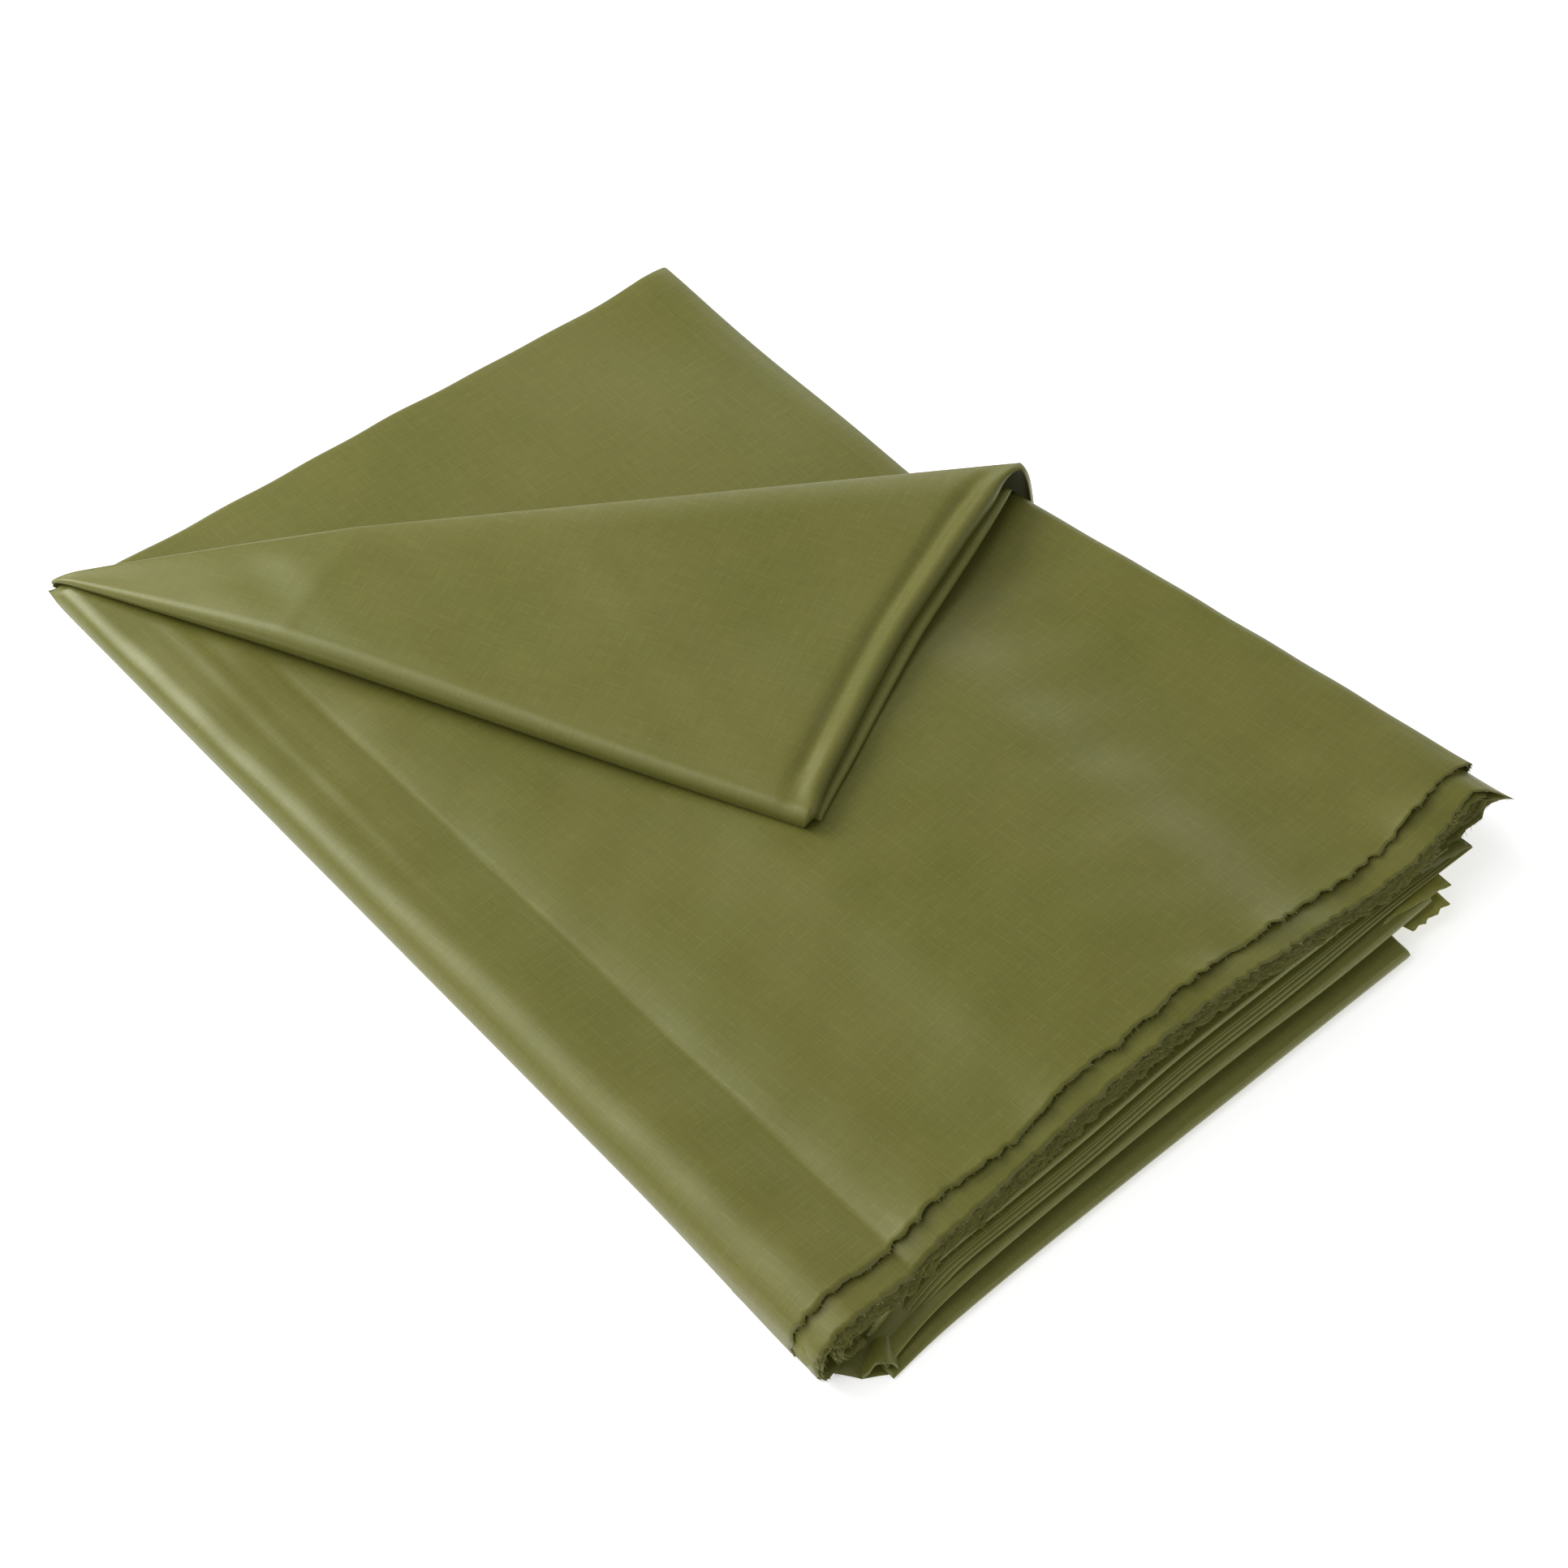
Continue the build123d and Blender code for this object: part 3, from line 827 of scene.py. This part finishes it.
def build_lips():
    """The mouth's two lips, which are flat leaves inside the pack."""
    def bound(share):
        return lambda x, y: mix(level(LOWER_TOP, x, y) + 0.4, top_height(x, y) - 2.9, share)

    for node, low, high, inner_x in (
        ("mouth_lower_lip", 0.68, 0.83, 150.0),
        ("mouth_upper_lip", 0.84, 0.99, 152.0),
    ):
        right = nose_side(lambda y, end=inner_x: 0 * y + end, second_back - 9, -131.0)
        middle = (low + high) / 2
        leaves = [
            Leaf(diagonal_side, right, bound(start), bound(end), rim=1.0, columns=40, rows=50)
            for start, end in ((low, middle - 0.01), (middle + 0.01, high))
        ]
        piece = leaves_piece(node + "_leaves", leaves, RAW)
        settle(piece, "nested_leaves_upper", [node], "upper_packet")


def build_mouth_plies():
    """The frayed bundle of raw plies at the mouth."""
    edges = []
    for number in range(MOUTH_PLIES):
        inset = WRAP_PITCH * 2 + 0.1 + 0.5 * number
        in_loop = number < LOOP_PLIES
        step_out = 0.36 * number - 0.5

        def edge(y, step_out=step_out, number=number):
            at_loop = ease(np.array(float(y)), 106, 124)
            return float(second_edge(y) + mix(step_out, 1.6 - 0.9 * number, at_loop))

        last_y = second_back - LOOP_RADIUS - (0 if in_loop else 10 + 1.5 * number)
        low_inset = (0.3 + 0.4 * number) if in_loop else (4.5 + 0.5 * number)
        loop_radius = (LOOP_RADIUS - 1.0 - 1.3 * number) if in_loop else 0.6
        points = np.array(mouth_rows(inset, low_inset, edge, loop_radius, last_y))
        curl = ragged(points, 8.0, 60 + 7 * number, (-0.2, 0.45))
        points[:, :, 2] += curl + crinkle(points, 80 + 5 * number)
        run = np.repeat((np.arange(len(points)) * MOUTH_STEP)[:, None], points.shape[1], 1)
        cloth = cloth_turned(points[:, :, 0], run, 3.0 * number)
        piece = ply_piece(f"mouth_ply_{number + 1}", points, cloth, RAW, 0.3)
        nodes = [] if number else ["mouth_near_roll", "mouth_far_roll"]
        settle(piece, "second_wrapping_ply", nodes, SPINE_BLEND)
        edges.append(points[:, -1])
    fray("mouth_fray", edges, 2400, 71, 1.7, 1.3)


def mouth_rows(inset, low_inset, edge, loop_radius, last_y):
    """Rows of one raw ply of the mouth, from the ground at the near corner, up round
    the spine, over to the back and round in a loop."""
    depth_steps = np.linspace(0, 1, 22)
    rows = []

    def add(y, z, end):
        x = end - MOUTH_DEPTH * (1 - depth_steps)
        rows.append(np.stack([x, 0 * x + y, 0 * x + z], -1))

    end = edge(EDGE_START)
    turn_y = spine_y + spine_reach(end)
    middle = level(UPPER_TOP, end, turn_y) * 0.5
    for share in np.linspace(1, 0, 14)[:-1]:
        angle = pi / 2 * ease(share, 0, 1)
        round_out, round_up = lower_rounding(end)
        out = (spine_reach(end) - low_inset) * cos(angle) ** round_out
        add(turn_y - out, middle - (middle - low_inset - PLY) * sin(angle) ** round_up, end)
    for angle in np.linspace(0, pi / 2, 14)[:-1]:
        here = mix(low_inset, inset, sin(angle))
        crest = top_height(end, turn_y) - here
        out = (spine_reach(end) - here) * cos(angle)
        add(turn_y - out, middle + (crest - middle) * sin(angle), end)
    for y in np.linspace(turn_y, last_y, 130):
        x = edge(y)
        add(y, top_height(x, y) - inset - 0.5 * ease(y, turn_y, turn_y + 30), x)
    z_last = rows[-1][0][2]
    end = edge(last_y)
    for angle in np.linspace(0, pi, 12)[1:]:
        down = loop_radius * (1 - cos(angle))
        add(last_y + loop_radius * sin(angle), z_last - down, end)
    for back in np.linspace(2, 14, 6):
        add(last_y - back, z_last - 2 * loop_radius - 0.05 * back, end)
    return rows


# ---- turned-back corner
def flap_thickness(distance, s=0.0):
    """Thickness of the turned-back corner by its distance from the tip; a little
    thinner towards its far corner."""
    thinner = 0.15 * ease(s, 0.6, 1.0) * ease(distance, 150, 280)
    return (1.5 + 10.5 * np.clip(distance / 105.0, 0, 1) ** 0.85) * (1 - thinner)


# How far each of the two end rolls stands inside the straight line of the flap's end,
# from the fold to the far corner.
UPPER_ROLL_IN = curve_through(
    (0, 0.4), (0.1, 1.2), (0.2, 2.6), (0.32, 3.8), (0.46, 5.2), (0.62, 4.8), (0.81, 3.2),
    (0.93, 1.9), (1.0, 0.3),
)
LOWER_ROLL_IN = curve_through(
    (0, -0.6), (0.1, -0.9), (0.2, -0.6), (0.32, 0.3), (0.46, 1.2), (0.62, 0.9), (0.81, 0.0),
    (0.93, -0.3), (1.0, -0.8),
)
FLAP_REACH = 282.0  # from the tip straight to the line of the flap's end
FOLD_DROP = 1.3  # how far the flap's face rounds down to its fold
UPPER_ROLL = 2.8  # radius of the flap's first end roll
FOLD_POINTS = 20  # across the flap: round its fold
FACE_POINTS = 89  # over its face
EDGE_POINTS = 17  # round its long edge
TUCK_POINTS = 4  # and under it


def flap_place(r, s, held_in=None):
    """Plan place on the flap: r from the tip outwards, s from the fold to its edge.
    held_in draws the end back from its straight line, by a function of s."""
    if held_in is not None:
        r = r * (1 - held_in(s) / FLAP_REACH * r ** 3)
    on_fold = tip[:2] + (apex[:2] - tip[:2]) * r
    on_edge = tip[:2] + (flap_corner - tip[:2]) * r
    return on_fold + (on_edge - on_fold) * s


def build_flap_skin():
    """One ply: out of the upper packet's underside, round the diagonal fold, over
    the flap, round its long edge and a little way under it."""
    outward = unit(np.array((-fold_axis[1], fold_axis[0])))
    edge_way = unit(flap_corner - tip[:2])
    edge_out = np.array((edge_way[1], -edge_way[0]))
    fold_length = np.linalg.norm(apex[:2] - tip[:2])
    near_tip = (0.0005, 0.0015, 0.004, 0.008)
    shares = np.concatenate([near_tip, 1 - (1 - np.linspace(0.013, 1, 166)) ** 1.15])
    body = np.array([flap_section(r, fold_length * r, outward, edge_out) for r in shares])
    body[:, :, 2] = capped(body[:, :, 2], 9.8, (shares * fold_length)[:, None], 0.12)
    points = np.concatenate([body, flap_end_roll(body)])
    cloth = cloth_turned(points[:, :, 0], points[:, :, 1], FLAP_WEAVE)
    on_edge = np.clip(np.arange(points.shape[1]) - (FOLD_POINTS + FACE_POINTS - 1), 0, None)
    cloth[:, :, 1] -= 1.1 * on_edge[None, :]
    on_end = np.arange(1, len(points) - len(body) + 1) * 0.75
    cloth[len(body):] += on_end[:, None, None] * np.array((1.0, 0.4))
    piece = ply_piece("flap_skin", points, cloth, FACE, offset=1.0)
    nodes = ["flap_cover", "flap_upper_leaf", "flap_edge_roll"]
    settle(piece, "outer_wrapping_ply", nodes, flap_blend())


def skin_in(s):
    """Where the flap's upper face ends and its first end roll begins to turn down."""
    return UPPER_ROLL_IN(s) + UPPER_ROLL * ease(s, -0.02, 0.08) * (1 - 0.3 * ease(s, 0.92, 1.0))


def flap_section(r, distance, outward, edge_out):
    """Points across the flap at one distance from its tip."""
    fold_x, fold_y = flap_place(r, 0.0)
    base = level(LOWER_TOP, fold_x, fold_y) + 0.35
    drop = FOLD_DROP * min(distance / 110, 1.0)
    top = level(UPPER_TOP, fold_x, fold_y) + flap_thickness(distance) - drop
    half = (top - base) / 2
    bulge = min(0.34 * half, 2.8) + 0.2
    points = []
    for angle in np.linspace(-0.5, 0.45, FOLD_POINTS) * pi:
        height = base + half * (1 + sin(angle))
        slip = 6.0 * max(0.0, (r - 0.97) / 0.03) * (1 - (height - base) / (2 * half)) ** 0.5
        place = outward * bulge * cos(angle) + fold_axis[:2] * slip
        points.append((fold_x + place[0], fold_y + place[1], height))
    width = np.linalg.norm(flap_place(r, 1.0) - flap_place(r, 0.0))
    thick = flap_thickness(distance, 1.0)
    roll = min(thick / 2, width * 0.3)
    inner = 1 - 0.9 * roll / max(width, 1e-3)
    for s in np.linspace(0, inner, FACE_POINTS + 1)[1:]:
        x, y = flap_place(r, s, skin_in)
        height = level(UPPER_TOP, x, y) + flap_thickness(distance, s)
        points.append((x, y, height + flap_relief(x, y, s, r, width, distance)))
    edge_x, edge_y = flap_place(r, inner, skin_in)
    gap = 0.5 + 0.04 * thick
    low, high = level(UPPER_TOP, edge_x, edge_y) + gap, points[-1][2]
    centre, rise = (low + high) / 2, (high - low) / 2
    for angle in np.linspace(0.5, -0.5, EDGE_POINTS + 1)[1:] * pi:
        place = edge_out * 0.9 * roll * cos(angle)
        points.append((edge_x + place[0], edge_y + place[1], centre + rise * sin(angle)))
    for s in np.linspace(inner, inner * 0.9, TUCK_POINTS + 1)[1:]:
        x, y = flap_place(r, s, skin_in)
        points.append((x, y, level(UPPER_TOP, x, y) + gap))
    return points


def flap_relief(x, y, s, r, width, distance):
    """Soft hollows and swells of the flap's upper face."""
    grown = min(distance / 110, 1.0)
    from_fold, from_end = s * width, (1 - r) * FLAP_REACH
    inside = sin(pi * min(s, 1.0))
    spot = np.array(x), np.array(y)
    wave = 0.62 * float(ripple(*spot, 85, 91)) + 0.2 * float(ripple(*spot, 32, 93))
    round_off = -FOLD_DROP * grown * max(0.0, 1 - from_fold / 15.0) ** 2
    from_edge = (1 - s) * width
    round_off -= 1.5 * grown * max(0.0, 1 - from_edge / 14.0) ** 2
    valley = 0.5 * bell(from_end, 1.0, 2.4) - 1.7 * bell(from_end, 6.5, 3.6)
    valley *= min(1.0, inside * 3)
    hollow = -1.0 * inside ** 1.5 * grown
    return wave * grown * min(1.0, 0.2 + inside) + round_off + valley + hollow


def flap_end_roll(body):
    """Extra rows that turn the flap's upper face down into the first of its two
    end rolls. They shrink where the fold and the long edge's roll take over."""
    way = unit(flap_corner - apex[:2])
    end_out = np.array((-way[1], way[0]))
    last = body[-1]
    number = np.arange(len(last))
    first_face = FOLD_POINTS - 1
    last_face = FOLD_POINTS + FACE_POINTS - 1
    taken = ease(number, first_face - 1, first_face + 9)
    taken = taken * (1 - ease(number, last_face - 3, last_face + 12))
    at_fold = 1 - ease(number, 13, 24)
    along = unit(fold_axis[:2])
    inward = np.array((along[1], -along[0]))
    rows = []
    for angle in np.linspace(0, 0.92, 11)[1:] * pi:
        out = UPPER_ROLL * sin(angle) * taken
        down = UPPER_ROLL * (1 - cos(angle)) * taken
        row = last.copy()
        row[:, :2] += end_out * out[:, None]
        row[:, 2] -= down
        closing = inward * 7.0 * angle / pi + along * 1.3 * sin(angle)
        row[:, :2] += at_fold[:, None] * closing
        rows.append(row)
    tuck = rows[-1].copy()
    tuck[:, :2] -= end_out * (4.0 * taken)[:, None]
    rows.append(tuck)
    return np.array(rows)


def flap_blend():
    """The upper packet and the flap, with two points that straddle the diagonal fold near its tip.
    """
    inward = unit(np.array((fold_axis[1], -fold_axis[0], 0.0)))
    up = np.cross(inward, fold_axis)
    up = up * np.sign(up[2])
    way = inward * 0.5 + up * sqrt(0.75)
    start, end = (tip - way * 4.0) * MM, (tip + way * 6.0) * MM
    return "upper_packet", "corner_flap", tuple(start), tuple(end)


def build_flap_inside():
    """The flap's lining and its lower leaf, whose nose is the second end roll."""
    def left(share):
        return np.array([flap_place(0.06, s) for s in mix(0.03, 0.88, share)]).T

    def right(share):
        return np.array([flap_place(1.0, s, LOWER_ROLL_IN) for s in mix(0.035, 0.972, share)]).T

    def low(x, y):
        return level(UPPER_TOP, x, y) + 0.7 + 1.3 * ease(np.hypot(x - tip[0], y - tip[1]), 255, 282)

    def high(x, y):
        distance = np.hypot(x - tip[0], y - tip[1]) * 0.97
        swell = 0.5 * bell(y, 91.0, 7.0) * ease(x, -20, 0)
        return level(UPPER_TOP, x, y) + np.maximum(flap_thickness(distance) - 6.4, 0.9) + swell

    leaf = Leaf(left, right, low, high, rim=2.9, columns=80, rows=80, turned=FLAP_WEAVE)
    settle(
        leaves_piece("flap_lower_leaf_fold", [leaf], FOLDED_LIT), "outer_wrapping_ply",
        ["flap_lower_leaf"], "corner_flap",
    )
    outward, across = np.linspace(0.01, 0.965, 60), np.linspace(0, 0.93, 50)
    points = np.array([[(*flap_place(r, s, LOWER_ROLL_IN), 0.0) for s in across] for r in outward])
    x, y = points[:, :, 0], points[:, :, 1]
    points[:, :, 2] = level(UPPER_TOP, x, y) + 0.4
    cloth = cloth_turned(x, y, FLAP_WEAVE)
    settle(
        ply_piece("flap_lining_sheet", points, cloth, FACE, 0.2),
        "outer_wrapping_ply", ["flap_lining"], "corner_flap",
    )


def build_corner_pocket():
    """The little envelope where the flap's rolls meet at its corner."""
    floor = level(UPPER_TOP, *flap_corner) + 0.6
    start = np.array((flap_corner[0] - 5.0, flap_corner[1] - 1.2, floor + 6.4))
    peak = np.array((flap_corner[0] - 1.6, flap_corner[1] - 1.8, floor + 3.2))
    end = np.array((flap_corner[0] - 0.4, flap_corner[1] + 0.4, floor + 0.6))
    places = np.linspace(0, 1, 14)
    arch = [(1 - t) ** 2 * start + 2 * t * (1 - t) * peak + t ** 2 * end for t in places]
    depth = np.array((-5.46, 4.34, -1.2))
    points = np.array([np.array(arch) + depth * share for share in np.linspace(0.35, 1.35, 9)])
    cloth = cloth_turned(points[:, :, 0], points[:, :, 2], 12.0)
    piece = ply_piece("flap_corner_envelope", points, cloth, FACE, 0.3, offset=0.0)
    settle(
        piece, "flap_skin", ["flap_corner_pocket"],
        "corner_flap",
    )


def corner_sheet(name, corners, seed, nodes, body, material, rests_on, dome=0.0):
    """A small loose end of a ply, from four corners, softly bent."""
    steps = np.linspace(0, 1, 16)
    a, b, c, d = (np.array(corner, float) for corner in corners)
    u, v = np.meshgrid(steps, steps)
    points = (
        a * ((1 - u) * (1 - v))[..., None] + b * (u * (1 - v))[..., None]
        + c * (u * v)[..., None] + d * ((1 - u) * v)[..., None]
    )
    points[:, :, 2] += 0.25 * ripple(points[:, :, 0], points[:, :, 1], 14, seed)
    points[:, :, 2] += dome * np.sin(u * pi) * np.sin(v * pi)
    rim = 0.35 * ripple(u * 30, v * 30, 6, seed + 1)
    points[:, :, 0] += rim * (u > 0.9)
    cloth = cloth_turned(points[:, :, 0], points[:, :, 1], 7.0)
    piece = ply_piece(name, points, cloth, material)
    settle(piece, rests_on, nodes, body)


def build_loose_corners():
    """Corners of plies that stand out of the pack at the open end. The last is the
    second ply's back corner, turned in on itself past its raw edge."""
    # The two fold corners take the painted-backlight material, brighter as if lit through from
    # behind.
    for name, corners, seed, node, body, material, rests_on in (
        ("second_fold_loose_corner",
         [(150, 84, 12.6), (191, 82, 13.4), (195.6, 113.2, 14.4), (158, 116, 13.2)],
         101, "second_fold_raw_corner", "lower_packet", LOOSE_BACKLIT, "second_fold_leaves"),
        ("bottom_fold_loose_corner",
         [(150, 82, 7.6), (196.4, 96.5, 5.4), (198.4, 110.6, 9.6), (164, 114, 9.0)],
         103, "bottom_fold_raw_corner", "lower_packet", LOOSE_BACKLIT, "bottom_fold_leaves"),
        ("nested_loose_corner",
         [(150, 106, 17.4), (187.5, 104, 17.6), (191.4, 127.4, 17.4), (156, 127, 17.4)],
         105, "nested_raw_corner", "upper_packet", FOLDED_LIT, "nested_leaves_upper"),
        ("second_ply_folded_corner",
         [(179, 132.5, 29.5), (188.0, 135.0, 30.5), (192.6, 139.4, 33.0), (183, 139.4, 31.0)],
         107, "second_ply_corner", "upper_packet", FACE, "second_wrapping_ply"),
    ):
        corner_sheet(name, corners, seed, [node], body, material, rests_on)


def build_near_pocket():
    """The folded pocket where the folds meet at the near corner, open towards the
    outside, and the cheek of cloth beside it."""
    left, right = np.array((193.6, -132.6, 0.35)), np.array((199.0, -123.4, 0.35))
    inward = np.array((-0.80, 0.60, 0.0))
    peak = np.array((195.2, -128.6, 6.2))
    shoulder = np.array((197.6, -125.0, 5.6))
    rising = mix(left, peak, 0.5) + (0.5, -0.5, 0.2)
    outline = [left, rising, peak, shoulder, right, mix(right, left, 0.5), left]
    turns = np.linspace(0, len(outline) - 1, 49)
    smooth = [curve_through(*enumerate(along_axis)) for along_axis in np.transpose(outline)]
    ring = np.stack([axis(turns) for axis in smooth], -1)
    rows = []
    for share in np.linspace(0, 1, 16):
        row = ring + inward * 15.0 * share
        row[:, 2] = mix(row[:, 2], 0.35 + (row[:, 2] - 0.35) * 0.55 + 1.2, share)
        rows.append(row)
    points = np.array(rows)
    cloth = cloth_turned(points[:, :, 0] + points[:, :, 2], points[:, :, 1], 20.0)
    piece = ply_piece("near_corner_envelope", points, cloth, FOLDED_LIT, 0.3, offset=0.0)
    settle(
        piece, "bottom_fold_leaves", ["near_corner_pocket"],
        "lower_packet",
    )
    corner_sheet(
        "near_corner_cheek",
        [(186.6, -137.6, 0.4), (194.0, -132.3, 0.5), (188.2, -92.0, 9.5), (181.0, -100.0, 17.0)],
        109, [], "upper_packet", FACE, "nested_leaves_upper", 1.6,
    )


# ---- the studio
def build_floor():
    """A plain white floor, lit a little from within so that it stays pale."""
    bpy.ops.mesh.primitive_plane_add(size=8, location=(0, 0, 0))
    floor = bpy.context.object
    floor.name = "studio_floor"
    made = Nodes("white_sweep")
    change = made.noise(made.node("TexCoord").outputs["Object"], (1, 1, 1), 1.5)
    made.give(made.shader, {
        "Base Color": (0.86, 0.86, 0.86, 1),
        "Roughness": made.math("MULTIPLY_ADD", change, 0.02, 0.6),
        "Specular IOR Level": 0.0,
        "Emission Color": (1, 1, 1, 1),
        "Emission Strength": 0.5,
    })
    floor.data.materials.append(made.material)


LIGHT_DISTANCE = 1.6  # metres


def soft_light(name, direction, size, power):
    """A soft box that faces the pack from one direction."""
    data = bpy.data.lights.new(name, "AREA")
    data.shape = "RECTANGLE"
    data.size, data.size_y = size
    data.energy = power
    light = bpy.data.objects.new(name, data)
    way = Vector(direction).normalized()
    light.location = way * LIGHT_DISTANCE
    light.rotation_euler = (-way).to_track_quat("-Z", "Y").to_euler()
    bpy.context.scene.collection.objects.link(light)


def build_lights():
    """A white surround and five soft boxes, the strongest to the left of the spine."""
    world = bpy.data.worlds.new("studio")
    world.use_nodes = True
    background = world.node_tree.nodes["Background"]
    background.inputs["Color"].default_value = (1, 1, 1, 1)
    background.inputs["Strength"].default_value = 0.22
    bpy.context.scene.world = world
    soft_light("left_softbox", (-0.80, -0.34, 0.50), (1.0, 0.8), 25.0)
    soft_light("top_softbox", (-0.25, -0.42, 0.87), (1.4, 0.9), 10.0)
    soft_light("back_softbox", (-0.40, 0.82, 0.41), (2.2, 0.6), 9.0)
    soft_light("front_fill", (-0.05, -0.86, 0.50), (1.6, 0.6), 4.5)
    soft_light("right_fill", (0.80, 0.38, 0.46), (1.2, 0.8), 3.2)


def build_camera():
    """A long lens, high and off the open end's near corner."""
    scene = bpy.context.scene
    scene.view_settings.view_transform = "Standard"
    camera = bpy.data.objects.new("camera", bpy.data.cameras.new("camera"))
    camera.data.lens = 68.94
    camera.data.sensor_width = 36.0
    camera.location = (0.4667, -0.4038, 0.7714)
    camera.rotation_mode = "QUATERNION"
    camera.rotation_quaternion = Vector((-0.45763, 0.40563, -0.79122)).to_track_quat("-Z", "Y")
    scene.collection.objects.link(camera)
    scene.camera = camera


build_wraps()
build_nested_folds()
build_lower_folds()
build_cover()
build_lips()
build_mouth_plies()
build_flap_skin()
build_flap_inside()
build_corner_pocket()
build_loose_corners()
build_near_pocket()
build_floor()
build_lights()
build_camera()
